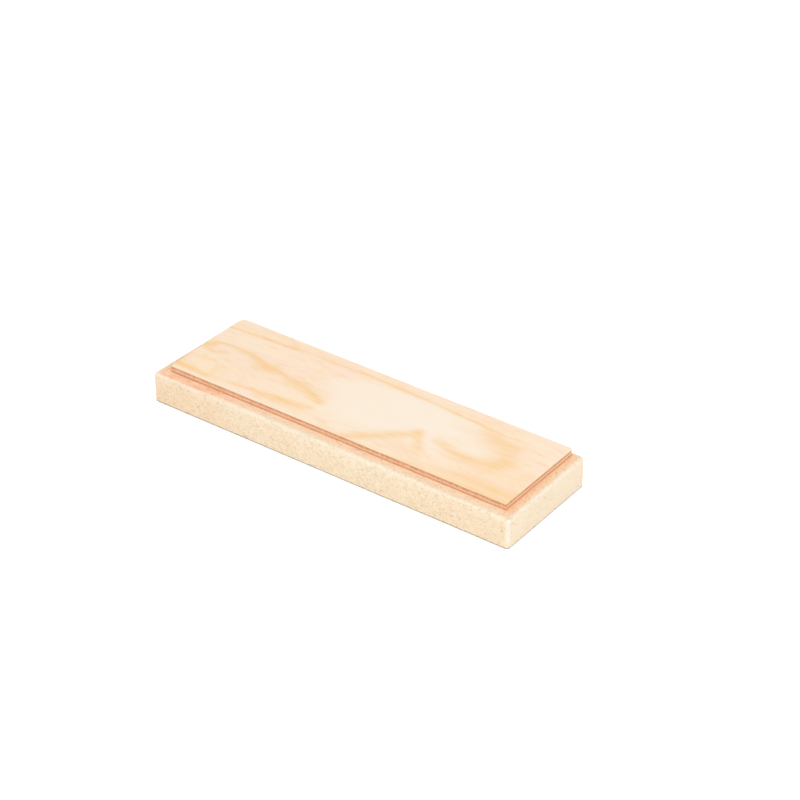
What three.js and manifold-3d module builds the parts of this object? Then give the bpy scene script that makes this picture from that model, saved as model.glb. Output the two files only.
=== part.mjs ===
// The washing pad of a tiler's sponge float: a sponge block with a thin plywood board glued
// to its back, which slides into the float's holder. Millimetres, +Z up. The origin is the
// centre of the sponge's working face, which the pad lies on. +X runs along the pad, and +Z
// points out of the board.

import * as THREE from "three";
import { mergeVertices } from "three/addons/utils/BufferGeometryUtils.js";
import Module from "manifold-3d";

// Sponge block
const PAD_LENGTH = 350;
const PAD_WIDTH = 105.5;
const SPONGE_THICKNESS = 27.75;
const SPONGE_CORNER_RADIUS = 3;
const SPONGE_BACK_LEFT_RADIUS = 8;
const SPONGE_TOP_EDGE_RADIUS = 3.5;
const SPONGE_BOTTOM_EDGE_RADIUS = 1;
// The sponge's left end is cut a little out of square: its back corner stands this far short.
const SPONGE_LEFT_SKEW = 4;

// How far the sponge stands out past the board on each side. The board is glued on by hand,
// a little off centre.
const LEDGE_LEFT = 12.25;
const LEDGE_RIGHT = 8.75;
const LEDGE_FRONT = 9;
const LEDGE_BACK = 4.25;

// The board's two front corners are crisp. Its back corners are worn round, the left one most.
const BOARD_FRONT_CORNER_RADIUS = 0.5;
const BOARD_BACK_RIGHT_RADIUS = 2.5;
const BOARD_BACK_LEFT_RADIUS = 7;

// The coat of adhesive under the board, with the bead that squeezed out past its edges.
const ADHESIVE_THICKNESS = 0.375;
const ADHESIVE_BEAD_WIDTH = 1.5;

// The layers of the three-ply board. These and the thicknesses above are whole eighths of a
// millimetre, which 32-bit numbers hold exactly, so each layer meets the next face to face.
const BACK_VENEER_THICKNESS = 0.75;
const CORE_VENEER_THICKNESS = 3;
const FACE_VENEER_THICKNESS = 1.25;
const GLUE_LINE_THICKNESS = 0.25;

const ARC_SEGMENTS = 8;

const boardLength = PAD_LENGTH - LEDGE_LEFT - LEDGE_RIGHT;
const boardWidth = PAD_WIDTH - LEDGE_FRONT - LEDGE_BACK;
const boardCentreX = (LEDGE_LEFT - LEDGE_RIGHT) / 2;
const boardCentreY = (LEDGE_FRONT - LEDGE_BACK) / 2;

const MATERIALS = {
  foam: { color: 0xf7deb9, roughness: 0.95 },
  adhesive: { color: 0xf0b48c, roughness: 0.6 },
  paleWood: { color: 0xfce4c6, roughness: 0.7 },
  coreWood: { color: 0xe0a276, roughness: 0.8 },
  glueLine: { color: 0x8e4f33, roughness: 0.7 },
};

const wasm = await Module();
wasm.setup();

// A rectangle centred on x = 0, with its lower side at y = bottom. The radii are those of its
// corners, anticlockwise from the lower left.
function roundedRectangle(width, bottom, height, radii) {
  const [lowLeft, lowRight, highRight, highLeft] = radii;
  const side = width / 2;
  const top = bottom + height;
  const quarter = Math.PI / 2;
  const shape = new THREE.Shape();
  shape.absarc(-side + lowLeft, bottom + lowLeft, lowLeft, 2 * quarter, 3 * quarter);
  shape.absarc(side - lowRight, bottom + lowRight, lowRight, 3 * quarter, 4 * quarter);
  shape.absarc(side - highRight, top - highRight, highRight, 0, quarter);
  shape.absarc(-side + highLeft, top - highLeft, highLeft, quarter, 2 * quarter);
  shape.closePath();
  return shape;
}

// A straight solid of the given outline, standing on the XY plane.
function prism(outline, depth) {
  return new THREE.ExtrudeGeometry(outline, {
    depth,
    bevelEnabled: false,
    curveSegments: ARC_SEGMENTS,
  });
}

function toManifold(geometry) {
  const bare = geometry.clone();
  bare.deleteAttribute("normal");
  bare.deleteAttribute("uv");
  const merged = mergeVertices(bare);
  return new wasm.Manifold(
    new wasm.Mesh({
      numProp: 3,
      vertProperties: merged.attributes.position.array,
      triVerts: Uint32Array.from(merged.index.array),
    }),
  );
}

function toGeometry(manifold) {
  const { vertProperties, triVerts } = manifold.getMesh();
  const geometry = new THREE.BufferGeometry();
  geometry.setAttribute("position", new THREE.BufferAttribute(vertProperties, 3));
  geometry.setIndex(new THREE.BufferAttribute(triVerts, 1));
  geometry.computeVertexNormals();
  return geometry;
}

function namedMesh(name, geometry, material) {
  const mesh = new THREE.Mesh(geometry, new THREE.MeshStandardMaterial({ ...material, metalness: 0 }));
  mesh.name = name;
  return mesh;
}

// Slants a sponge's left end by moving points along the length. Nothing moves at the front side
// or at the right end.
function skewLeftEnd(geometry) {
  const position = geometry.getAttribute("position");
  for (let i = 0; i < position.count; i += 1) {
    const x = position.getX(i);
    const towardLeft = 0.5 - x / PAD_LENGTH;
    const towardBack = 0.5 + position.getY(i) / PAD_WIDTH;
    position.setX(i, x + SPONGE_LEFT_SKEW * towardLeft * towardBack);
  }
  geometry.computeVertexNormals();
  return geometry;
}

// The sponge is the space that three prisms share: its outline seen from above, and its side
// and end profiles, whose upper edges are softer than the lower ones.
function spongeBlock() {
  const edgeRadii = [
    SPONGE_BOTTOM_EDGE_RADIUS,
    SPONGE_BOTTOM_EDGE_RADIUS,
    SPONGE_TOP_EDGE_RADIUS,
    SPONGE_TOP_EDGE_RADIUS,
  ];
  const cornerRadii = [...Array(3).fill(SPONGE_CORNER_RADIUS), SPONGE_BACK_LEFT_RADIUS];
  const plan = roundedRectangle(PAD_LENGTH, -PAD_WIDTH / 2, PAD_WIDTH, cornerRadii);
  const sideProfile = roundedRectangle(PAD_LENGTH, 0, SPONGE_THICKNESS, edgeRadii);
  const endProfile = roundedRectangle(PAD_WIDTH, 0, SPONGE_THICKNESS, edgeRadii);

  const fromAbove = prism(plan, SPONGE_THICKNESS);
  const alongY = prism(sideProfile, PAD_WIDTH).rotateX(Math.PI / 2);
  alongY.translate(0, PAD_WIDTH / 2, 0);
  const alongX = prism(endProfile, PAD_LENGTH).rotateX(Math.PI / 2).rotateZ(Math.PI / 2);
  alongX.translate(-PAD_LENGTH / 2, 0, 0);

  const block = toManifold(fromAbove).intersect(toManifold(alongY)).intersect(toManifold(alongX));
  return namedMesh("sponge_block", skewLeftEnd(toGeometry(block)), MATERIALS.foam);
}

// The board's outline, grown by the given margin on every side.
function boardOutline(margin) {
  const front = BOARD_FRONT_CORNER_RADIUS + margin;
  const backRight = BOARD_BACK_RIGHT_RADIUS + margin;
  const backLeft = BOARD_BACK_LEFT_RADIUS + margin;
  const length = boardLength + 2 * margin;
  const width = boardWidth + 2 * margin;
  return roundedRectangle(length, -width / 2, width, [front, front, backRight, backLeft]);
}

// Everything glued on the sponge's back, from the adhesive up.
const LAYERS = [
  ["pad_adhesive", ADHESIVE_THICKNESS, MATERIALS.adhesive, ADHESIVE_BEAD_WIDTH],
  ["back_veneer", BACK_VENEER_THICKNESS, MATERIALS.paleWood, 0],
  ["lower_glue_line", GLUE_LINE_THICKNESS, MATERIALS.glueLine, 0],
  ["core_veneer", CORE_VENEER_THICKNESS, MATERIALS.coreWood, 0],
  ["upper_glue_line", GLUE_LINE_THICKNESS, MATERIALS.glueLine, 0],
  ["face_veneer", FACE_VENEER_THICKNESS, MATERIALS.paleWood, 0],
];

function boardLayers() {
  const layers = new THREE.Group();
  layers.position.set(boardCentreX, boardCentreY, SPONGE_THICKNESS);
  let level = 0;
  for (const [name, thickness, material, margin] of LAYERS) {
    const layer = namedMesh(name, prism(boardOutline(margin), thickness), material);
    layer.position.z = level;
    layers.add(layer);
    level += thickness;
  }
  return layers;
}

const pad = new THREE.Group();
pad.add(spongeBlock(), boardLayers());

export default pad;
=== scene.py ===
import math

import bpy
import numpy as np
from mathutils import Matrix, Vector, kdtree, noise


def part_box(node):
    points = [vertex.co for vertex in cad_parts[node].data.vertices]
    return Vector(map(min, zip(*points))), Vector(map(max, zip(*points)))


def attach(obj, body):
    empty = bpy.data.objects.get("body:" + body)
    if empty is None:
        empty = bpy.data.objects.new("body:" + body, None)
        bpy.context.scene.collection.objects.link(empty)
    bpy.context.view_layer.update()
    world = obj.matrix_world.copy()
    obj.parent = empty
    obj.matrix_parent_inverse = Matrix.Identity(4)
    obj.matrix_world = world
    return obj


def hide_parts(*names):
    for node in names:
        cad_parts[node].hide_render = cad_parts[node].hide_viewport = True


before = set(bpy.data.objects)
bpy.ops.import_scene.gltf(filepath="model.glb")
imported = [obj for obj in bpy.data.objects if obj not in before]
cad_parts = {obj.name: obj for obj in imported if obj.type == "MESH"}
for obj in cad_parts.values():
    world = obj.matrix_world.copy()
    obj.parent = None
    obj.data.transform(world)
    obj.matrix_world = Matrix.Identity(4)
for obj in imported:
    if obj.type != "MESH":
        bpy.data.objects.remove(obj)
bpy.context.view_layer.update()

MM = 0.001
BODY = "root"
SEED = 7


def in_mm(length):
    """A length in metres as a plain number of millimetres."""
    return float(length / MM)


def node_box(node):
    """The lowest and highest corner of a CAD node, as arrays."""
    return tuple(np.array(corner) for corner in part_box(node))


SPONGE_LOW, SPONGE_HIGH = node_box("sponge_block")
BOARD_LOW, BOARD_HIGH = node_box("face_veneer")
PAD_LENGTH = SPONGE_HIGH[0] - SPONGE_LOW[0]
BOARD_CENTRE = (BOARD_LOW + BOARD_HIGH) / 2
BOARD_HALF = (BOARD_HIGH - BOARD_LOW) / 2


# ---------------------------------------------------------------------------------------------
# Camera, light and floor
# ---------------------------------------------------------------------------------------------

CAMERA_AZIMUTH = 36.19
CAMERA_ELEVATION = 33.11
CAMERA_LENS_MM = 113.6
# In lengths of the pad: how far away the camera is, and the point on the floor it looks at.
CAMERA_DISTANCE = 5.918
CAMERA_AIM = (-0.0364, 0.1898, 0.0)
SENSOR_WIDTH_MM = 36
NEAREST_SEEN = 0.05
FARTHEST_SEEN = 50

# A white room, bright enough for the paper under the pad to turn pure white, and one soft light
# that reaches the pad's front side, its right end and its top alike.
SKY_BRIGHTNESS = 1.15
KEY_LIGHT_PLACE = (1.4, -1.6, 2.4)
KEY_LIGHT_SIZE = 1.8
KEY_LIGHT_POWER = 46
# How many times brighter the pad's surfaces look in this light than in plain white light. Less
# of it reaches the sponge's ledge beside the board.
LIGHT_ON_PAD = 1.45
LIGHT_ON_LEDGE = 1.36

FLOOR_HALF_SIZE = 12
FLOOR_WHITENESS = 0.95


def make_camera():
    azimuth = math.radians(CAMERA_AZIMUTH)
    elevation = math.radians(CAMERA_ELEVATION)
    backward = Vector((
        math.sin(azimuth) * math.cos(elevation),
        -math.cos(azimuth) * math.cos(elevation),
        math.sin(elevation),
    ))
    aim = Vector(CAMERA_AIM) * PAD_LENGTH
    data = bpy.data.cameras.new("camera")
    data.lens = CAMERA_LENS_MM
    data.sensor_width = SENSOR_WIDTH_MM
    data.clip_start = NEAREST_SEEN
    data.clip_end = FARTHEST_SEEN
    camera = bpy.data.objects.new("camera", data)
    camera.location = aim + backward * CAMERA_DISTANCE * PAD_LENGTH
    camera.rotation_euler = (-backward).to_track_quat("-Z", "Y").to_euler()
    bpy.context.scene.collection.objects.link(camera)
    bpy.context.scene.camera = camera


def make_area_light(name, location, size, power):
    data = bpy.data.lights.new(name, "AREA")
    data.shape = "DISK"
    data.size = size
    data.energy = power
    light = bpy.data.objects.new(name, data)
    light.location = location
    light.rotation_euler = (-Vector(location)).to_track_quat("-Z", "Y").to_euler()
    bpy.context.scene.collection.objects.link(light)


def make_world(brightness):
    world = bpy.data.worlds.new("white_studio")
    world.use_nodes = True
    background = world.node_tree.nodes["Background"]
    background.inputs["Color"].default_value = (1, 1, 1, 1)
    background.inputs["Strength"].default_value = brightness
    bpy.context.scene.world = world


def make_floor():
    reach = FLOOR_HALF_SIZE
    mesh = bpy.data.meshes.new("floor")
    corners = [(-reach, -reach, 0), (reach, -reach, 0), (reach, reach, 0), (-reach, reach, 0)]
    mesh.from_pydata(corners, [], [(0, 1, 2, 3)])
    material = bpy.data.materials.new("white_paper")
    material.use_nodes = True
    shader = material.node_tree.nodes["Principled BSDF"]
    white = FLOOR_WHITENESS
    shader.inputs["Base Color"].default_value = (white, white, white, 1)
    shader.inputs["Roughness"].default_value = 0.9
    shader.inputs["Specular IOR Level"].default_value = 0.1
    mesh.materials.append(material)
    floor = bpy.data.objects.new("floor", mesh)
    bpy.context.scene.collection.objects.link(floor)


# ---------------------------------------------------------------------------------------------
# Meshes
# ---------------------------------------------------------------------------------------------

SMALLEST_CORNER = 0.2 * MM


def surface_lattice(counts):
    """The surface of a grid of counts cells: its points, as cell numbers, and its outward quads."""
    strides = np.array([(counts[1] + 1) * (counts[2] + 1), counts[2] + 1, 1])
    around = [(0, 0), (1, 0), (1, 1), (0, 1)]
    quads = []
    for axis in range(3):
        first = (axis + 1) % 3
        second = (axis + 2) % 3
        a, b = np.meshgrid(np.arange(counts[first]), np.arange(counts[second]), indexing="ij")
        for level, order in ((0, around[::-1]), (counts[axis], around)):
            start = level * strides[axis] + a.ravel() * strides[first] + b.ravel() * strides[second]
            steps = [p * strides[first] + q * strides[second] for p, q in order]
            quads.append(np.stack([start + step for step in steps], axis=1))
    keys, quads = np.unique(np.concatenate(quads), return_inverse=True)
    cells = np.stack(np.unravel_index(keys, counts + 1), axis=1)
    return cells, quads.reshape(-1, 4)


def edge_profile(height, bottom_radius, top_radius, spacing):
    """Rows up a block's side: how far each lies in from the outline, and its height."""
    rows = []

    def arc(radius, centre, start, stop):
        steps = max(3, math.ceil(radius * math.pi / 2 / spacing))
        for angle in np.linspace(start, stop, steps + 1):
            rows.append((radius * (1 - math.cos(angle)), centre + radius * math.sin(angle)))

    arc(bottom_radius, bottom_radius, -math.pi / 2, 0)
    straight = height - bottom_radius - top_radius
    steps = max(1, round(straight / spacing))
    for step in range(1, steps):
        rows.append((0, bottom_radius + straight * step / steps))
    arc(top_radius, height - top_radius, 0, math.pi / 2)
    return np.array(rows)


def rounded_block(low, high, spacing, corners, edges, row_spacing=None):
    """A block with soft edges, as points and outward quads.

    corners are the radii of its upright corners: front, back right and back left. edges are
    those of its bottom and top edges.
    """
    size = high - low
    rows = edge_profile(size[2], *edges, row_spacing or spacing)
    counts = np.array([round(size[0] / spacing), round(size[1] / spacing), len(rows) - 1])
    cells, quads = surface_lattice(counts)
    inset, height = rows[cells[:, 2]].T
    reach = size[:2] / 2 - inset[:, None]
    flat = (2 * cells[:, :2] / counts[:2] - 1) * reach

    front, back_right, back_left = corners
    at_left = cells[:, 0] * 2 < counts[0]
    at_front = cells[:, 1] * 2 < counts[1]
    radius = np.where(at_front, front, np.where(at_left, back_left, back_right)) - inset
    radius = np.maximum(radius, SMALLEST_CORNER)[:, None]
    over = np.maximum(np.abs(flat) - (reach - radius), 0)
    diagonal = np.hypot(over[:, 0], over[:, 1])
    pull = np.divide(over.max(axis=1), diagonal, out=np.ones_like(diagonal), where=diagonal > 0)
    flat = np.sign(flat) * (np.abs(flat) - over * (1 - pull[:, None]))

    centre = (low[:2] + high[:2]) / 2
    points = np.column_stack([centre + flat, low[2] + height])
    return points, quads


def vertex_normals(points, quads):
    corners = points[quads]
    face = np.cross(corners[:, 2] - corners[:, 0], corners[:, 3] - corners[:, 1])
    normals = np.zeros_like(points)
    for corner in range(4):
        np.add.at(normals, quads[:, corner], face)
    return normals / np.linalg.norm(normals, axis=1)[:, None]


def noise_at(points, length, layer=0):
    """Smooth noise, about -1 to 1, whose features are length across. length may differ by axis."""
    shifted = points / length + (SEED + layer) * np.array([17.3, 5.1, 9.7])
    return np.fromiter(map(noise.noise, shifted.tolist()), float, len(points))


def smoothstep(value, low, high):
    t = np.clip((value - low) / (high - low), 0, 1)
    return t * t * (3 - 2 * t)


def make_piece(name, points, quads, material, node, slot, **attributes):
    """A mesh piece on the pad's one body, in place of a CAD node, with its point attributes."""
    mesh = bpy.data.meshes.new(name)
    mesh.from_pydata(points.tolist(), [], quads.tolist())
    mesh.shade_smooth()
    mesh.materials.append(material)
    for attribute, values in attributes.items():
        mesh.attributes.new(attribute, "FLOAT", "POINT").data.foreach_set("value", values)
    piece = bpy.data.objects.new(name, mesh)
    bpy.context.scene.collection.objects.link(piece)
    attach(piece, BODY)
    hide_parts(node)
    return piece


# ---------------------------------------------------------------------------------------------
# Materials
# ---------------------------------------------------------------------------------------------


def colour(red, green, blue, light=LIGHT_ON_PAD):
    """The surface colour, as a shader takes it, that looks in this light as given, 0 to 255."""
    seen = np.array([red, green, blue]) / 255
    linear = np.where(seen <= 0.04045, seen / 12.92, ((seen + 0.055) / 1.055) ** 2.4)
    return (*(linear / light).tolist(), 1.0)


class Shader:
    """One material's nodes. Each method adds a node and returns its output."""

    def __init__(self, name, roughness, specular=0.3):
        self.material = bpy.data.materials.new(name)
        self.material.use_nodes = True
        self.tree = self.material.node_tree
        self.surface = self.tree.nodes["Principled BSDF"]
        self.surface.inputs["Specular IOR Level"].default_value = specular
        self.set("Roughness", roughness)
        place = self.add("ShaderNodeTexCoord").outputs["Object"]
        self.place_mm = self.vector("SCALE", place, scale=1 / MM)
        self.x_mm, self.y_mm, self.z_mm = self.split(self.place_mm)

    def add(self, kind, inputs=None, **settings):
        node = self.tree.nodes.new(kind)
        for key, value in settings.items():
            setattr(node, key, value)
        for key, value in (inputs or {}).items():
            self.feed(node.inputs[key], value)
        return node

    def feed(self, socket, value):
        if isinstance(value, bpy.types.NodeSocket):
            self.tree.links.new(value, socket)
        elif value is not None:
            socket.default_value = value

    def set(self, name, value):
        self.feed(self.surface.inputs[name], value)

    def split(self, vector):
        return self.add("ShaderNodeSeparateXYZ", {0: vector}).outputs[:3]

    def join(self, x, y, z):
        return self.add("ShaderNodeCombineXYZ", {0: x, 1: y, 2: z}).outputs[0]

    def vector(self, operation, a, b=None, scale=None):
        node = self.add("ShaderNodeVectorMath", {0: a, 1: b}, operation=operation)
        if scale is not None:
            node.inputs["Scale"].default_value = scale
        return node.outputs[0]

    def math(self, operation, a, b=None, clamp=False):
        node = self.add("ShaderNodeMath", {0: a, 1: b}, operation=operation, use_clamp=clamp)
        return node.outputs[0]

    def times(self, a, b):
        return self.math("MULTIPLY", a, b)

    def plus(self, a, b):
        return self.math("ADD", a, b)

    def larger(self, a, b):
        return self.math("MAXIMUM", a, b)

    def rise(self, value, start, stop, low=0.0, high=1.0):
        """value brought from start..stop to low..high, smoothly and no further."""
        inputs = {"Value": value, "From Min": start, "From Max": stop, "To Min": low, "To Max": high}
        return self.add("ShaderNodeMapRange", inputs, interpolation_type="SMOOTHSTEP").outputs[0]

    def attribute(self, name):
        return self.add("ShaderNodeAttribute", attribute_name=name).outputs["Fac"]

    def noise(self, length_mm, place=None, detail=2.0, roughness=0.5, shift=0.0):
        """Noise from 0 to 1. length_mm is its features' size, one number or one for each axis."""
        lengths = np.broadcast_to(np.array(length_mm, float), 3)
        scaled = self.vector("MULTIPLY", place or self.place_mm, tuple(1 / lengths))
        if shift:
            scaled = self.vector("ADD", scaled, (shift, shift, shift))
        inputs = {"Vector": scaled, "Scale": 1.0, "Detail": detail, "Roughness": roughness}
        return self.add("ShaderNodeTexNoise", inputs).outputs["Fac"]

    def cells(self, length_mm, shift=0.0):
        """Scattered cells of length_mm: the distance from each cell's middle, in cell lengths, and
        a random number for each cell."""
        place = self.vector("ADD", self.place_mm, (shift, shift, shift))
        node = self.add("ShaderNodeTexVoronoi", {"Vector": place, "Scale": 1 / length_mm})
        return node.outputs["Distance"], self.split(node.outputs["Color"])[0]

    def mix(self, factor, a, b, blend="MIX"):
        node = self.add("ShaderNodeMix", data_type="RGBA", blend_type=blend)
        self.feed(node.inputs[0], factor)
        self.feed(node.inputs[6], a)
        self.feed(node.inputs[7], b)
        return node.outputs[2]

    def bump(self, height, depth_mm, under=None):
        """Shading relief depth_mm deep where height goes from 0 to 1."""
        inputs = {"Height": height, "Distance": depth_mm * MM, "Strength": 1.0, "Normal": under}
        return self.add("ShaderNodeBump", inputs).outputs[0]

    def board_distance_mm(self):
        """How far a point is outside the board's outline, negative within it."""
        beyond = []
        for place_mm, centre, half in zip((self.x_mm, self.y_mm), BOARD_CENTRE, BOARD_HALF):
            from_middle = self.math("ABSOLUTE", self.plus(place_mm, in_mm(-centre)))
            beyond.append(self.plus(from_middle, in_mm(-half)))
        return self.larger(*beyond)


# The sponge's material

FOAM = {
    "side": colour(255, 240, 215),
    "working face": colour(249, 221, 160),
    "blotch": colour(252, 229, 196),
    "yellow": colour(248, 220, 172),
    "rosy": colour(247, 215, 184),
    "pale": colour(255, 242, 220),
    "grain": colour(250, 220, 178),
    "left tint": colour(250, 219, 183),
    "right tint": colour(250, 221, 184),
    # Painted light: the right end paler than the front.
    "painted right end light": colour(255, 246, 228),
    # Painted light: the sides paler towards their top.
    "painted upper light": colour(253, 242, 224),
    # A painted highlight on the rounded upper rim and the front right corner.
    "painted_rim_highlight": colour(255, 250, 238),
    "stain": colour(255, 223, 190, LIGHT_ON_LEDGE),
    "strong stain": colour(255, 206, 170, LIGHT_ON_LEDGE),
    "red patch": colour(252, 190, 158, LIGHT_ON_LEDGE),
    "right stain": colour(252, 204, 160, LIGHT_ON_LEDGE),
    "strong right stain": colour(241, 178, 126, LIGHT_ON_LEDGE),
    # Painted shade in the foam's pores, warm-tinted.
    "pore_tint_and_shade": colour(252, 198, 136),
    # Painted shade in the pits carved into the sponge.
    "pit": colour(254, 202, 142),
    # A painted contact shadow along the foot of the sides.
    "painted_contact_shadow": colour(112, 110, 110),
}

# What the ledge's colour is multiplied by towards its outer edge, where it is a little darker.
OUTER_LEDGE_SHADE = (0.92, 0.92, 0.92, 1.0)

# Patches of colour: their size in millimetres, the shift of their noise, the noise at which they
# begin and are full, and their strength. Some are only on the cut sides.
PATCHES = {
    "blotch": (16, 0.0, 0.3, 0.75, 0.3),
    "yellow": (2.0, 12.0, 0.42, 0.66, 0.65),
    "rosy": (2.4, 40.0, 0.45, 0.7, 0.55),
    "pale": (1.8, 55.0, 0.5, 0.7, 0.6),
}
SIDE_PATCHES = ("rosy", "pale")

# Places along the pad, in millimetres from its middle: where each begins, and where it is full.
LEFT_TINT = (-60.0, -140.0)
RIGHT_TINT = (50.0, 130.0)
LEFT_STAIN = (-50.0, -145.0)


def random_pores(shader, length_mm, largest, edge, shift=0.0):
    """Round pores of all sizes, 1 inside and 0 outside. largest is a radius in cell lengths."""
    distance, chance = shader.cells(length_mm, shift)
    radius = shader.rise(chance, 0.25, 1.0, 0.0, largest)
    inside = shader.math("SUBTRACT", radius, distance)
    return shader.rise(inside, 0.0, edge)


def foam_pores(foam):
    large = random_pores(foam, 2.6, 0.3, 0.12)
    fine = random_pores(foam, 1.3, 0.42, 0.2, shift=17.0)
    tiny = random_pores(foam, 0.75, 0.45, 0.25, shift=31.0)
    return foam.larger(large, foam.larger(foam.times(fine, 0.8), foam.times(tiny, 0.6)))


def add_patches(foam, base, sides):
    for name, (size_mm, shift, begin, full, strength) in PATCHES.items():
        patch = foam.rise(foam.noise(size_mm, detail=2, shift=shift), begin, full, 0.0, strength)
        if name in SIDE_PATCHES:
            patch = foam.times(patch, sides)
        base = foam.mix(patch, base, FOAM[name])
    return base


def clean_foam_colour(foam, grain):
    """The foam where no adhesive is. Its cut sides are paler and more varied than the yellow
    working face that lies underneath."""
    top_mm = in_mm(SPONGE_HIGH[2])
    end_mm = in_mm(SPONGE_HIGH[0])
    underside = foam.attribute("underside")
    sides = foam.rise(underside, 1.0, 0.0)
    base = foam.mix(underside, FOAM["side"], FOAM["working face"])
    base = add_patches(foam, base, sides)
    base = foam.mix(foam.rise(grain, 0.35, 0.75, 0.0, 0.3), base, FOAM["grain"])

    tints = {
        "left tint": foam.rise(foam.x_mm, *LEFT_TINT, 0.0, 0.55),
        "right tint": foam.rise(foam.x_mm, *RIGHT_TINT, 0.0, 0.25),
        # The right end is painted paler, for the light that falls on it.
        "painted right end light": foam.rise(foam.x_mm, end_mm - 4.0, end_mm - 1.0, 0.0, 0.3),
    }
    for name, tint in tints.items():
        base = foam.mix(foam.times(tint, sides), base, FOAM[name])
    # Painted light: the upper part of the sides is made paler, where more light falls from above.
    painted_upper_light = foam.rise(foam.z_mm, top_mm - 10.0, top_mm - 3.0, 0.0, 0.3)
    base = foam.mix(painted_upper_light, base, FOAM["painted upper light"])
    # The rounded upper rim and the front right corner get a painted highlight.
    return foam.mix(foam.attribute("painted_rim_highlight"), base, FOAM["painted_rim_highlight"])


def stain_ledge(foam, base):
    """Adds the adhesive that soaked into the ledge round the board, most at the board and at the
    left end. It keeps off the sponge's rounded edges."""
    start_mm = in_mm(SPONGE_LOW[0])
    end_mm = in_mm(SPONGE_HIGH[0])
    ledge = foam.attribute("ledge")
    stained = foam.times(ledge, foam.rise(foam.x_mm, start_mm + 2.5, start_mm + 8.0))
    left_end = foam.rise(foam.x_mm, *LEFT_STAIN)
    right_end = foam.rise(foam.x_mm, end_mm - 15.0, end_mm - 8.0, 0.0, 0.6)

    away = foam.board_distance_mm()
    streaks = foam.noise((16, 4, 4), detail=3, shift=4.0)
    ragged = foam.times(foam.plus(streaks, -0.5), 10.0)
    reach = foam.plus(foam.plus(away, ragged), foam.times(left_end, -9.0))
    soaked = foam.times(foam.rise(reach, 10.0, 1.0), stained)
    redder = foam.times(foam.rise(reach, 3.0, -3.0), stained)
    patches = foam.times(foam.rise(foam.noise((9, 4, 4), detail=3, shift=6.0), 0.45, 0.7), left_end)

    base = foam.mix(soaked, base, FOAM["stain"])
    base = foam.mix(foam.times(redder, 0.7), base, FOAM["strong stain"])
    base = foam.mix(foam.times(patches, soaked), base, FOAM["red patch"])
    base = foam.mix(foam.times(right_end, soaked), base, FOAM["right stain"])
    base = foam.mix(foam.times(right_end, redder), base, FOAM["strong right stain"])
    outer_ledge = foam.times(ledge, foam.rise(away, 2.0, 7.0))
    return foam.mix(outer_ledge, base, OUTER_LEDGE_SHADE, blend="MULTIPLY")


def foam_material():
    foam = Shader("sponge_foam", roughness=0.95, specular=0.15)
    pores = foam_pores(foam)
    grain = foam.noise(0.7, detail=3)
    base = stain_ledge(foam, clean_foam_colour(foam, grain))
    # The pores are painted darker and warmer, as painted shade inside them.
    base = foam.mix(foam.times(pores, 0.4), base, FOAM["pore_tint_and_shade"])
    # The deeper pits are painted darker: painted shade in these recesses.
    base = foam.mix(foam.rise(foam.attribute("pit"), 0.05, 0.4, 0.0, 0.25), base, FOAM["pit"])
    # A dark line of painted contact shadow runs along the foot of the sides, where the cut meets the
    # working face.
    base = foam.mix(foam.times(foam.attribute("painted_contact_shadow"), 0.85), base, FOAM["painted_contact_shadow"])
    foam.set("Base Color", base)

    relief = foam.bump(grain, 0.2)
    foam.set("Normal", foam.bump(foam.math("SUBTRACT", 1.0, pores), 0.35, relief))
    return foam.material


# The adhesive's material

ADHESIVE = {
    "pale": colour(255, 222, 188, LIGHT_ON_LEDGE),
    "patch": colour(255, 210, 172, LIGHT_ON_LEDGE),
    "left end": colour(254, 196, 160, LIGHT_ON_LEDGE),
    "right end": colour(242, 188, 144, LIGHT_ON_LEDGE),
    # Painted shade where the adhesive meets the board's foot.
    "painted_crease_shade": colour(216, 142, 104),
}

# Places along the pad, as for the foam.
LEFT_ADHESIVE = (-110.0, -165.0)
RIGHT_ADHESIVE = (160.0, 166.0)
WIDE_CREASE_SHADE = (-20.0, -110.0)


def adhesive_material():
    glue = Shader("dried_adhesive", roughness=0.55, specular=0.35)
    lumps = glue.noise(4, detail=3)
    patches = glue.noise((22, 6, 6), detail=2, shift=3.0)
    base = glue.mix(glue.rise(patches, 0.35, 0.7), ADHESIVE["pale"], ADHESIVE["patch"])
    left_end = glue.times(glue.rise(glue.x_mm, *LEFT_ADHESIVE), 0.5)
    base = glue.mix(left_end, base, ADHESIVE["left end"])
    right_end = glue.rise(glue.x_mm, *RIGHT_ADHESIVE, 0.0, 0.6)
    base = glue.mix(right_end, base, ADHESIVE["right end"])

    # Painted shade in the crease at the board's foot, wider towards the left end.
    away = glue.board_distance_mm()
    wider = glue.times(glue.rise(away, 1.0, 0.3), glue.rise(glue.x_mm, *WIDE_CREASE_SHADE, 0.0, 0.8))
    painted_crease_shade = glue.larger(glue.rise(away, 0.3, 0.0), wider)
    painted_crease_shade = glue.times(painted_crease_shade, glue.rise(lumps, 0.3, 0.6, 0.35, 0.9))
    glue.set("Base Color", glue.mix(painted_crease_shade, base, ADHESIVE["painted_crease_shade"]))
    glue.set("Normal", glue.bump(lumps, 0.4))
    return glue.material


# The board's materials

WOOD = {
    "pale": colour(251, 237, 217),
    "warm": colour(252, 231, 202),
    "pink": colour(253, 225, 203),
    "flame": colour(249, 208, 152),
    "fibre": colour(246, 215, 178),
    "pore_tint_and_shade": colour(225, 180, 132),
    "sawn edge": colour(236, 178, 138),
    "core": colour(255, 212, 172),
    "core ring": colour(252, 196, 154),
    "core patch": colour(255, 218, 180),
    "end grain": colour(232, 160, 118),
    "crushed": colour(214, 142, 104),
    "back": colour(246, 190, 150),
    "back fibre": colour(234, 166, 126),
}

PLY_GLUE = {
    "dark": colour(132, 70, 46),
    "thin": colour(190, 118, 86),
    "faint": colour(236, 170, 130),
}


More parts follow.
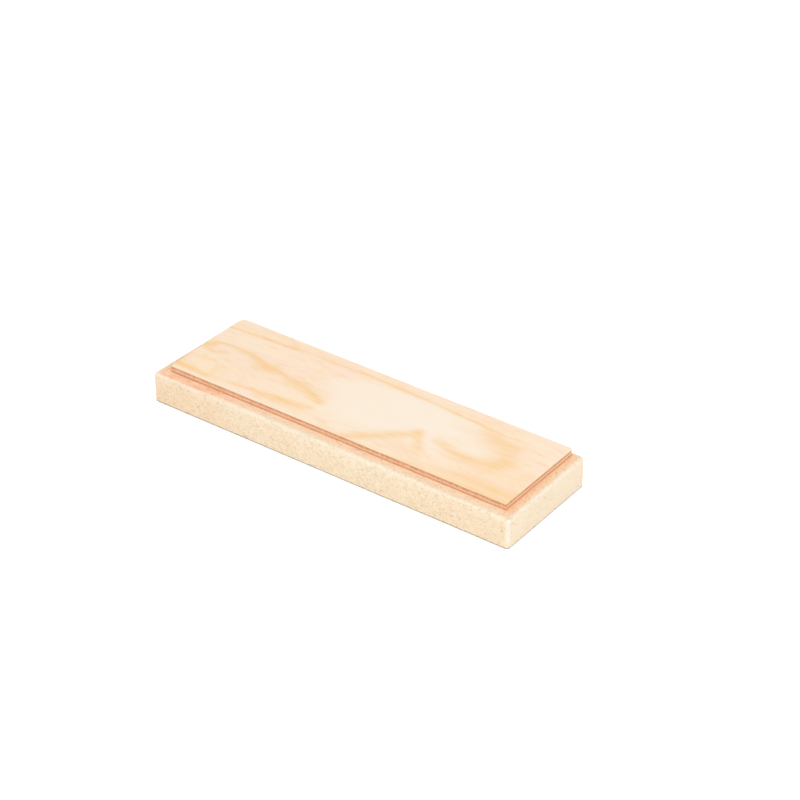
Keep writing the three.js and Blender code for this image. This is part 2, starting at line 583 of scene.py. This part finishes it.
def face_wood_material():
    wood = Shader("face_veneer_wood", roughness=0.62, specular=0.3)
    flame = wood.attribute("figure")
    warmth = wood.attribute("warmth")
    along_grain = wood.join(wood.x_mm, wood.attribute("ring_mm"), wood.z_mm)
    fibres = wood.noise((34, 0.45, 0.35), along_grain, detail=4, roughness=0.6)
    broad = wood.noise((80, 5, 5), along_grain, detail=2, shift=8.0)
    mottle = wood.noise((14, 5, 5), along_grain, detail=3, shift=21.0)
    pores = wood.noise((3.5, 0.22, 0.25), along_grain, detail=2, shift=2.0)

    base = wood.mix(warmth, WOOD["pale"], WOOD["warm"])
    pink = wood.times(wood.rise(broad, 0.35, 0.65), wood.plus(wood.times(warmth, 0.6), 0.2))
    base = wood.mix(pink, base, WOOD["pink"])
    mottled = wood.times(wood.rise(mottle, 0.5, 0.75, 0.0, 0.5), warmth)
    base = wood.mix(mottled, base, WOOD["flame"])
    base = wood.mix(wood.rise(fibres, 0.5, 0.8, 0.0, 0.25), base, WOOD["fibre"])
    streaky = wood.rise(fibres, 0.3, 0.75, 0.65, 1.6)
    base = wood.mix(wood.math("MULTIPLY", flame, streaky, clamp=True), base, WOOD["flame"])
    base = wood.mix(wood.rise(pores, 0.62, 0.8, 0.0, 0.2), base, WOOD["pore_tint_and_shade"])
    top_mm = in_mm(BOARD_HIGH[2])
    side = wood.rise(wood.z_mm, top_mm - 0.15, top_mm - 1.0)
    wood.set("Base Color", wood.mix(wood.times(side, 0.9), base, WOOD["sawn edge"]))

    relief = wood.bump(fibres, 0.1)
    wood.set("Normal", wood.bump(pores, 0.06, relief))
    wood.set("Roughness", wood.rise(fibres, 0.3, 0.8, 0.55, 0.75))
    return wood.material


def core_wood_material():
    """The core's grain runs across the board, so the long edges show its end grain."""
    wood = Shader("core_veneer_wood", roughness=0.8, specular=0.2)
    end_grain = wood.noise((0.35, 30, 0.45), detail=3)
    rings = wood.noise((1.6, 60, 9), detail=2, shift=5.0)
    patches = wood.noise(18, detail=2, shift=1.0)
    base = wood.mix(wood.rise(rings, 0.35, 0.65), WOOD["core"], WOOD["core ring"])
    base = wood.mix(wood.rise(patches, 0.4, 0.7, 0.0, 0.5), base, WOOD["core patch"])
    base = wood.mix(wood.rise(end_grain, 0.5, 0.75, 0.0, 0.45), base, WOOD["end grain"])

    # The saw tore and crushed the core's upper part, deeper down on the long edges.
    top_mm = in_mm(node_box("core_veneer")[1][2])
    half_mm = in_mm(BOARD_HALF[1])
    torn = wood.rise(wood.noise((2.2, 30, 3), detail=3, shift=9.0), 0.35, 0.65, 0.25, 0.9)
    from_middle = wood.math("ABSOLUTE", wood.plus(wood.y_mm, in_mm(-BOARD_CENTRE[1])))
    long_side = wood.rise(from_middle, half_mm - 1.5, half_mm - 0.6, 0.0, 0.75)
    deep = wood.times(wood.rise(wood.z_mm, top_mm - 1.9, top_mm - 1.2), long_side)
    crushed = wood.larger(wood.rise(wood.z_mm, top_mm - 1.1, top_mm - 0.2), deep)
    wood.set("Base Color", wood.mix(wood.times(crushed, torn), base, WOOD["crushed"]))
    wood.set("Normal", wood.bump(end_grain, 0.15))
    return wood.material


def back_wood_material():
    wood = Shader("back_veneer_wood", roughness=0.75, specular=0.25)
    fibres = wood.noise((30, 0.5, 0.25), detail=4)
    wood.set("Base Color", wood.mix(wood.rise(fibres, 0.35, 0.7), WOOD["back"], WOOD["back fibre"]))
    wood.set("Normal", wood.bump(fibres, 0.1))
    return wood.material


def glue_line_material():
    """The glue between the plies. The lower line is the fainter one."""
    glue = Shader("plywood_glue", roughness=0.6, specular=0.3)
    patches = glue.noise((2.5, 2.5, 1), detail=3)
    base = glue.mix(glue.rise(patches, 0.3, 0.7), PLY_GLUE["dark"], PLY_GLUE["thin"])
    core_low, core_high = node_box("core_veneer")
    lower = glue.rise(glue.z_mm, in_mm(core_high[2]), in_mm(core_low[2]), 0.0, 0.75)
    glue.set("Base Color", glue.mix(lower, base, PLY_GLUE["faint"]))
    glue.set("Normal", glue.bump(patches, 0.1))
    return glue.material


# ---------------------------------------------------------------------------------------------
# The sponge
# ---------------------------------------------------------------------------------------------

SPONGE_SPACING = 0.6 * MM
SPONGE_CORNERS = (3 * MM, 3 * MM, 8 * MM)
SPONGE_BOTTOM_EDGE = 1 * MM
SPONGE_TOP_EDGE = 3.5 * MM
SPONGE_LEFT_SKEW = 4 * MM
PORE_COUNT = 6000
PORE_RADIUS = 0.48 * MM
LARGEST_PORE = 1.2 * MM
DEEPEST_PORE = 0.42 * MM

# The cut sides stand back a little and are slightly wavy and rough.
SETBACK = 0.2 * MM
WAVE_HEIGHT = 0.35 * MM
HIGHEST_WAVE = 0.1 * MM
LONG_WAVE = 45 * MM
SHORT_WAVE = 14 * MM
ROUGH_HEIGHT = 0.12 * MM
ROUGH_LENGTH = 2.2 * MM

# How strongly a painted highlight lightens the upper rim, and the front right corner.
UPPER_RIM_HIGHLIGHT = 0.13
FRONT_RIGHT_HIGHLIGHT = 1.3


def pore_depths(points, normals):
    """How far in each point moves where round pores cut the surface."""
    random = np.random.default_rng(SEED)
    tree = kdtree.KDTree(len(points))
    for index, point in enumerate(points.tolist()):
        tree.insert(point, index)
    tree.balance()
    depths = np.zeros(len(points))
    for seat in random.choice(len(points), PORE_COUNT, replace=False):
        radius = min(PORE_RADIUS * random.lognormal(0, 0.35), LARGEST_PORE)
        centre = points[seat] + normals[seat] * radius * random.uniform(-0.5, 0.3)
        for place, index, distance in tree.find_range(centre, radius):
            above = float(np.dot(np.array(place) - centre, normals[index]))
            floor = math.sqrt(max(radius**2 - distance**2 + above**2, 0))
            depths[index] = max(depths[index], above + floor)
    return np.minimum(depths, DEEPEST_PORE)


def edge_strength(upward):
    """1 where a surface faces half way up, as along the sponge's upper edges, down to 0."""
    return 4 * upward**2 * (1 - upward**2)


def skew_left_end(points):
    """Slants the sponge's left end, whose back corner stands short of the front one."""
    size = SPONGE_HIGH - SPONGE_LOW
    toward_left = (SPONGE_HIGH[0] - points[:, 0]) / size[0]
    toward_back = (points[:, 1] - SPONGE_LOW[1]) / size[1]
    skewed = points.copy()
    skewed[:, 0] += SPONGE_LEFT_SKEW * toward_left * toward_back
    return skewed


def sponge_swell(points):
    """How far the sponge's cut surface stands out at each point."""
    waves = noise_at(points, LONG_WAVE) + 0.6 * noise_at(points, SHORT_WAVE, 1)
    rough = ROUGH_HEIGHT * noise_at(points, ROUGH_LENGTH, 2)
    return np.minimum(WAVE_HEIGHT * waves, HIGHEST_WAVE) - SETBACK + rough


def sponge_marks(height, normals):
    """Where the sponge gets its painted highlight on the upper rim and front right corner, faces up
    beside the board, has its dark line of painted contact shadow at the foot, and lies on the floor."""
    upper_rim_highlight = UPPER_RIM_HIGHLIGHT * edge_strength(normals[:, 2])
    facing_front_right = np.maximum(normals[:, 0], 0) * np.maximum(-normals[:, 1], 0)
    front_right = FRONT_RIGHT_HIGHLIGHT * facing_front_right
    above_foot = smoothstep(height, 2 * MM, 5 * MM)
    under_side = smoothstep(height, 1.1 * MM, 0.8 * MM)
    above_floor = smoothstep(height, 0.05 * MM, 0.2 * MM)
    return {
        "painted_rim_highlight": np.maximum(upper_rim_highlight, front_right) * above_foot,
        "ledge": smoothstep(normals[:, 2], 0.6, 1.0),
        # A band just above the floor, where the painted contact shadow goes.
        "painted_contact_shadow": under_side * above_floor,
        "underside": smoothstep(height, 0.3 * MM, 0),
    }


def make_sponge(material):
    edges = (SPONGE_BOTTOM_EDGE, SPONGE_TOP_EDGE)
    points, quads = rounded_block(SPONGE_LOW, SPONGE_HIGH, SPONGE_SPACING, SPONGE_CORNERS, edges)
    points = skew_left_end(points)
    normals = vertex_normals(points, quads)
    height = points[:, 2].copy()
    pores = pore_depths(points, normals)
    off_floor = 1 - smoothstep(height, 1.5 * MM, 0.2 * MM)
    points = points + normals * (sponge_swell(points) * off_floor - pores)[:, None]
    points[:, 2] = np.maximum(points[:, 2], 0)
    marks = sponge_marks(height, normals)
    sponge = make_piece(
        "sponge", points, quads, material, "sponge_block", "sponge_foam", pit=pores / MM, **marks
    )


# ---------------------------------------------------------------------------------------------
# The adhesive
# ---------------------------------------------------------------------------------------------

ADHESIVE_SPACING = 1.1 * MM
ADHESIVE_ROW_SPACING = 0.1 * MM
ADHESIVE_CORNERS = (1 * MM, 3.5 * MM, 8 * MM)
ADHESIVE_EDGES = (0.1 * MM, 0.25 * MM)
# How far the bead's outline wanders, in long and in short waves, and how far it stands in.
BEAD_WANDER = 1.1 * MM
BEAD_RAGGEDNESS = 0.7 * MM
BEAD_SETBACK = 0.2 * MM
# How far the bead sags beside the board on average, and how far the coat soaks into the sponge.
BEAD_SLUMP = 0.2 * MM
SOAKED_DEPTH = 0.3 * MM


def outside_board(points):
    """How far each point is outside the board's outline, and the direction straight out."""
    offset = points[:, :2] - BOARD_CENTRE[:2]
    beyond = np.abs(offset) - BOARD_HALF[:2]
    nearest = beyond.argmax(axis=1)
    direction = np.zeros_like(points)
    rows = np.arange(len(points))
    direction[rows, nearest] = np.sign(offset[rows, nearest])
    return beyond.max(axis=1), direction


def make_adhesive(material):
    low, high = node_box("pad_adhesive")
    points, quads = rounded_block(
        low, high, ADHESIVE_SPACING, ADHESIVE_CORNERS, ADHESIVE_EDGES, ADHESIVE_ROW_SPACING
    )
    away, direction = outside_board(points)
    bead = smoothstep(away, -3 * MM, 1.0 * MM)
    wander = BEAD_WANDER * noise_at(points, 7 * MM, 4)
    raggedness = BEAD_RAGGEDNESS * noise_at(points, 2.6 * MM, 5)
    spread = wander + raggedness - BEAD_SETBACK
    points = points + direction * (bead * spread)[:, None]
    upper = points[:, 2] > (low[2] + high[2]) / 2
    outside = smoothstep(away, -0.1 * MM, 0.4 * MM)
    slump = BEAD_SLUMP * (noise_at(points, 3 * MM, 6) - 1)
    points[:, 2] += np.where(upper, outside * slump, -SOAKED_DEPTH)
    make_piece("adhesive", points, quads, material, "pad_adhesive", "adhesive")


# ---------------------------------------------------------------------------------------------
# The board
# ---------------------------------------------------------------------------------------------

# The radii of the board's upright corners: front, back right and back left.
BOARD_CORNERS = (0.5 * MM, 2.5 * MM, 7 * MM)
LOWER_PLY_EDGE = 0.05 * MM
PLY_ROW_SPACING = 0.3 * MM

# The dark flames in the face veneer. Places are in millimetres from the board's left end and
# from its back edge. Each flame has a half width, and points with a place and a strength.
FLAMES = {
    "back_line": (1.6, [
        (0, 17.5, 0.9), (20, 15.4, 0.7), (45, 14.4, 0.9), (68, 12, 0.9), (84, 11, 0.35),
        (102, 10.8, 0.7), (132, 9.7, 0.8), (165, 10.2, 0.6), (189, 11.7, 0.9), (211, 11.2, 0.7),
        (235, 14.2, 0.8), (274, 16, 0.5),
    ]),
    "back_haze": (5.0, [(0, 10, 0.2), (120, 5, 0.15), (260, 9, 0.2), (290, 12, 0.1)]),
    "left_hook": (2.2, [
        (2, 50, 0.8), (8, 42.5, 0.8), (20, 39.3, 0.8), (36, 39.8, 0.9), (52, 42.6, 0.8),
        (66, 45.5, 0.9), (88, 50.5, 0.6), (104, 53, 0.5), (118, 57.5, 0.6), (131, 64, 0.4),
    ]),
    "left_hook_root": (4.0, [(0, 49, 1.0), (7, 47, 0.7)]),
    "left_hook_curl": (2.5, [(4, 53, 0.7), (14, 54.5, 0.7), (24, 50.5, 0.5)]),
    "knuckle": (5.0, [(52, 45, 0.5), (62, 48.5, 0.9), (72, 50.5, 0.5)]),
    "left_tail": (5.0, [
        (72, 47, 0.3), (90, 50.5, 0.45), (108, 54, 0.5), (124, 58.5, 0.5), (131, 62, 0.5),
    ]),
    "left_tail_low": (3.0, [(88, 56, 0.25), (110, 60, 0.35), (129, 66, 0.4)]),
    "front_left": (2.4, [
        (0, 85.5, 0.7), (14, 84.5, 0.8), (28, 86.5, 0.5), (45, 86, 0.3), (58, 83, 0.7),
        (76, 80.5, 0.7), (94, 79, 0.7), (118, 77, 0.7), (131, 74.5, 0.5),
    ]),
    "front_left_root": (3.8, [(2, 84, 0.75), (16, 84.5, 0.7), (30, 86, 0.35)]),
    "front_left_glow": (5.0, [(85, 81, 0.4), (105, 80, 0.65), (124, 78.5, 0.5)]),
    "middle_flank": (5.5, [
        (174, 92, 0.6), (188, 81, 0.75), (200, 71, 0.65), (212, 61, 0.6), (220, 54.5, 0.7),
    ]),
    "middle_slope": (4.5, [(220, 54.5, 0.7), (226, 62, 0.6), (233, 72, 0.4)]),
    "middle_patch": (9.0, [(208, 76, 0.25), (236, 82, 0.25)]),
    "right_top": (6.0, [(262, 21, 0.35), (278, 25, 0.6), (294, 28, 0.55)]),
    "right_arch": (9.0, [(276, 31, 0.35), (290, 36, 0.55), (300, 46, 0.5), (292, 56, 0.45)]),
    "right_foot": (5.5, [
        (238, 53, 0.5), (252, 58, 0.75), (272, 60.5, 0.75), (290, 57, 0.5), (305, 50, 0.3),
    ]),
    "front_right": (7.0, [(244, 88, 0.2), (274, 84, 0.5), (300, 82, 0.7), (331, 82, 0.8)]),
    "front_rim": (2.5, [(150, 93, 0.15), (240, 92, 0.4), (331, 91, 0.8)]),
    "right_haze": (14.0, [(286, 70, 0.2), (325, 60, 0.25)]),
    "left_haze": (16.0, [(0, 74, 0.12), (60, 66, 0.12)]),
}

# The pale heart in the middle of the veneer, as millimetres on the board.
PALE_HEART_MIDDLE = (190, 42)
PALE_HEART_HALF_SIZE = (78, 42)

# Long tongues of growth rings that the fine grain bends round: middle, half length and half
# width in millimetres, and how many millimetres of rings pile up in them.
RING_TONGUES = [
    ((0, 63), (95, 19), 22),
    ((205, 96), (38, 30), 20),
    ((300, 44), (52, 16), 18),
]


def board_place_mm(points):
    """Points as millimetres from the board's left end and from its back edge."""
    return np.column_stack([points[:, 0] - BOARD_LOW[0], BOARD_HIGH[1] - points[:, 1]]) / MM


def flame_strength(points):
    """How dark the veneer's flames are at each point, from 0 to 1."""
    place = board_place_mm(points)
    grain = np.array([20, 4, 4]) * MM
    place[:, 1] += 1.8 * noise_at(points, grain, 10) + 0.7 * noise_at(points, grain / 3, 11)
    streaks = 1 + 0.5 * noise_at(points, np.array([28, 2, 2]) * MM, 13)
    clear = np.ones(len(points))
    for half_width, knots in FLAMES.values():
        knots = np.array(knots)
        strongest = np.zeros(len(points))
        for start, stop in zip(knots[:-1], knots[1:]):
            run = stop[:2] - start[:2]
            t = np.clip((place - start[:2]) @ run / (run @ run), 0, 1)
            offset = np.linalg.norm(place - start[:2] - t[:, None] * run, axis=1)
            strength = start[2] + (stop[2] - start[2]) * t
            strongest = np.maximum(strongest, strength * np.exp(-((offset / half_width) ** 2)))
        clear *= 1 - strongest
    return (1 - clear) * streaks


def veneer_warmth(points):
    """How far each point is from the pale heart in the middle of the veneer, from 0 to 1."""
    away = (board_place_mm(points) - PALE_HEART_MIDDLE) / PALE_HEART_HALF_SIZE
    away = away + 0.35 * noise_at(points, np.array([30, 9, 9]) * MM, 14)[:, None]
    return smoothstep(np.linalg.norm(away, axis=1), 0.55, 1.25)


def ring_place_mm(points):
    """A stand-in for the place across the grain, which bends round the tongues of growth rings."""
    place = board_place_mm(points)
    across = place[:, 1] + 2.5 * noise_at(points, np.array([70, 18, 18]) * MM, 12)
    for middle, half_size, rings in RING_TONGUES:
        away = (place - middle) / half_size
        across = across + rings * np.exp(-(away**2).sum(axis=1))
    return across


def worn_edge(points, depth, layer):
    """Small nicks along the outline of a ply: points near its edge move in by up to depth."""
    away, direction = outside_board(points)
    near = smoothstep(away, -1.6 * MM, -0.2 * MM)
    nicks = smoothstep(noise_at(points, np.array([2.5, 2.5, 1.2]) * MM, layer), 0.25, 0.6)
    saw = 0.3 * noise_at(points, np.array([9, 9, 4]) * MM, layer + 1)
    return points - direction * (near * depth * (nicks + saw + 0.3))[:, None]


def face_figure(points):
    """The point attributes that draw the face veneer's figure."""
    return {
        "figure": flame_strength(points),
        "warmth": veneer_warmth(points),
        "ring_mm": ring_place_mm(points),
    }


def make_board():
    """Each layer of the board, with a sawn, slightly nicked edge."""
    glue = glue_line_material()
    # Name, node, material, slot, mesh spacing, wear and upper edge in millimetres, noise layer.
    layers = [
        ("back_ply", "back_veneer", back_wood_material(), "face_wood", 1.6, 0.25, 0.05, 20),
        ("lower_ply_glue", "lower_glue_line", glue, "glue_line", 1.6, 0.15, 0.05, 24),
        ("core_ply", "core_veneer", core_wood_material(), "core_wood", 1.2, 0.3, 0.05, 28),
        ("upper_ply_glue", "upper_glue_line", glue, "glue_line", 1.6, 0.15, 0.05, 32),
        ("face_ply", "face_veneer", face_wood_material(), "face_wood", 0.8, 0.25, 0.25, 36),
    ]
    for name, node, material, slot, spacing, wear, upper_edge, noise_layer in layers:
        edges = (LOWER_PLY_EDGE, upper_edge * MM)
        points, quads = rounded_block(
            *node_box(node), spacing * MM, BOARD_CORNERS, edges, PLY_ROW_SPACING
        )
        points = worn_edge(points, wear * MM, noise_layer)
        attributes = face_figure(points) if node == "face_veneer" else {}
        piece = make_piece(name, points, quads, material, node, slot, **attributes)
        piece.modifiers.new("even_shading", "WEIGHTED_NORMAL").keep_sharp = True


# ---------------------------------------------------------------------------------------------
# The scene
# ---------------------------------------------------------------------------------------------

make_camera()
make_world(SKY_BRIGHTNESS)
make_area_light("key_light", KEY_LIGHT_PLACE, KEY_LIGHT_SIZE, KEY_LIGHT_POWER)
make_floor()
bpy.context.scene.view_settings.view_transform = "Standard"

make_sponge(foam_material())
make_adhesive(adhesive_material())
make_board()
